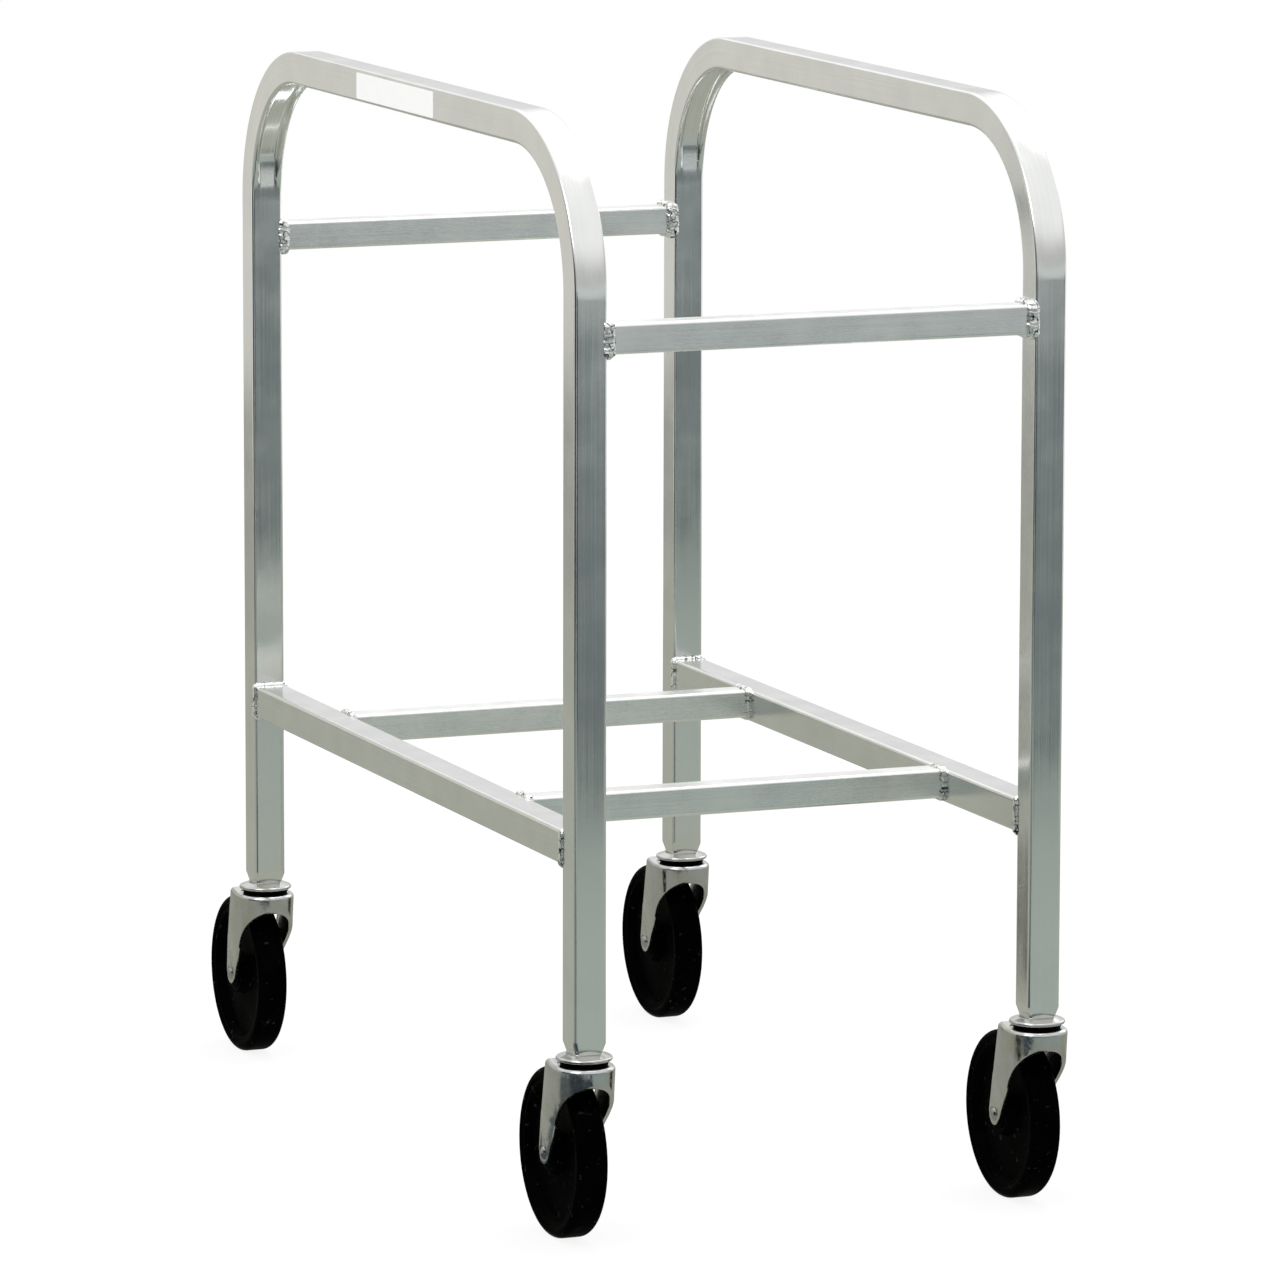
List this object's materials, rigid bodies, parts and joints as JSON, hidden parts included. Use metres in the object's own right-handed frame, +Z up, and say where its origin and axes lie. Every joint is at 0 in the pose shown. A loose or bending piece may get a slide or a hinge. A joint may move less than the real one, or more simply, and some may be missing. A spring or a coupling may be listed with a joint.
{
  "type": "lug tub dolly",
  "caption": "Tall open trolley of bent square aluminium tube: two inverted-U side hoops joined by welded cross rails that carry a tub, on swivel casters.",
  "frame": {"origin": "on the floor, at the centre of the rectangle of the four wheels' contact points", "axes": "+Z up; +X towards the right hoop, across the short way; +Y towards the back, the way the casters trail"},
  "size_m": [0.408, 0.8333, 0.8255],
  "materials": {
    "tube_aluminium": "mill finish, lightly brushed along the tube",
    "weld_aluminium": "as welded, bright ripples",
    "label_film": "plain satin film",
    "zinc": "bright zinc plate",
    "zinc_dull": "dull zinc plate",
    "ball_steel": "polished",
    "seal_black": "matt",
    "nylon": "black nylon",
    "wheel_black": "hard rubber, satin, with light scuffs"
  },
  "bodies": {
    "frame": {"left_hoop": "tube_aluminium", "right_hoop": "tube_aluminium", "left_side_rail": "tube_aluminium", "right_side_rail": "tube_aluminium", "front_upper_rail": "tube_aluminium", "back_upper_rail": "tube_aluminium", "front_lower_rail": "tube_aluminium", "back_lower_rail": "tube_aluminium", "side_rail_welds": "weld_aluminium", "upper_rail_welds": "weld_aluminium", "lower_rail_welds": "weld_aluminium", "label": "label_film", "front_left_stem_socket": "zinc_dull", "front_left_king_pin": "zinc", "front_left_race_cap": "zinc", "front_left_dust_seal": "seal_black", "front_left_lower_race": "zinc", "front_right_stem_socket": "zinc_dull", "front_right_king_pin": "zinc", "front_right_race_cap": "zinc", "front_right_dust_seal": "seal_black", "front_right_lower_race": "zinc", "back_left_stem_socket": "zinc_dull", "back_left_king_pin": "zinc", "back_left_race_cap": "zinc", "back_left_dust_seal": "seal_black", "back_left_lower_race": "zinc", "back_right_stem_socket": "zinc_dull", "back_right_king_pin": "zinc", "back_right_race_cap": "zinc", "back_right_dust_seal": "seal_black", "back_right_lower_race": "zinc"},
    "front_left_caster": {"front_left_fork": "zinc", "front_left_race_balls": "ball_steel", "front_left_axle": "zinc", "front_left_sleeve": "zinc_dull"},
    "front_left_wheel_set": {"front_left_wheel": "wheel_black", "front_left_bushes": "nylon"},
    "front_right_caster": {"front_right_fork": "zinc", "front_right_race_balls": "ball_steel", "front_right_axle": "zinc", "front_right_sleeve": "zinc_dull"},
    "front_right_wheel_set": {"front_right_wheel": "wheel_black", "front_right_bushes": "nylon"},
    "back_left_caster": {"back_left_fork": "zinc", "back_left_race_balls": "ball_steel", "back_left_axle": "zinc", "back_left_sleeve": "zinc_dull"},
    "back_left_wheel_set": {"back_left_wheel": "wheel_black", "back_left_bushes": "nylon"},
    "back_right_caster": {"back_right_fork": "zinc", "back_right_race_balls": "ball_steel", "back_right_axle": "zinc", "back_right_sleeve": "zinc_dull"},
    "back_right_wheel_set": {"back_right_wheel": "wheel_black", "back_right_bushes": "nylon"}
  },
  "joints": [
    {"name": "front_left_swivel", "type": "hinge", "parent": "frame", "child": "front_left_caster", "pos_m": [-0.181, -0.39445, 0.14], "axis": [0, 0, 1], "continuous": true},
    {"name": "front_left_roll", "type": "hinge", "parent": "front_left_caster", "child": "front_left_wheel_set", "pos_m": [-0.181, -0.35245, 0.0635], "axis": [1, 0, 0], "continuous": true},
    {"name": "front_right_swivel", "type": "hinge", "parent": "frame", "child": "front_right_caster", "pos_m": [0.181, -0.39445, 0.14], "axis": [0, 0, 1], "continuous": true},
    {"name": "front_right_roll", "type": "hinge", "parent": "front_right_caster", "child": "front_right_wheel_set", "pos_m": [0.181, -0.35245, 0.0635], "axis": [1, 0, 0], "continuous": true},
    {"name": "back_left_swivel", "type": "hinge", "parent": "frame", "child": "back_left_caster", "pos_m": [-0.181, 0.31045, 0.14], "axis": [0, 0, 1], "continuous": true},
    {"name": "back_left_roll", "type": "hinge", "parent": "back_left_caster", "child": "back_left_wheel_set", "pos_m": [-0.181, 0.35245, 0.0635], "axis": [1, 0, 0], "continuous": true},
    {"name": "back_right_swivel", "type": "hinge", "parent": "frame", "child": "back_right_caster", "pos_m": [0.181, 0.31045, 0.14], "axis": [0, 0, 1], "continuous": true},
    {"name": "back_right_roll", "type": "hinge", "parent": "back_right_caster", "child": "back_right_wheel_set", "pos_m": [0.181, 0.35245, 0.0635], "axis": [1, 0, 0], "continuous": true}
  ]
}
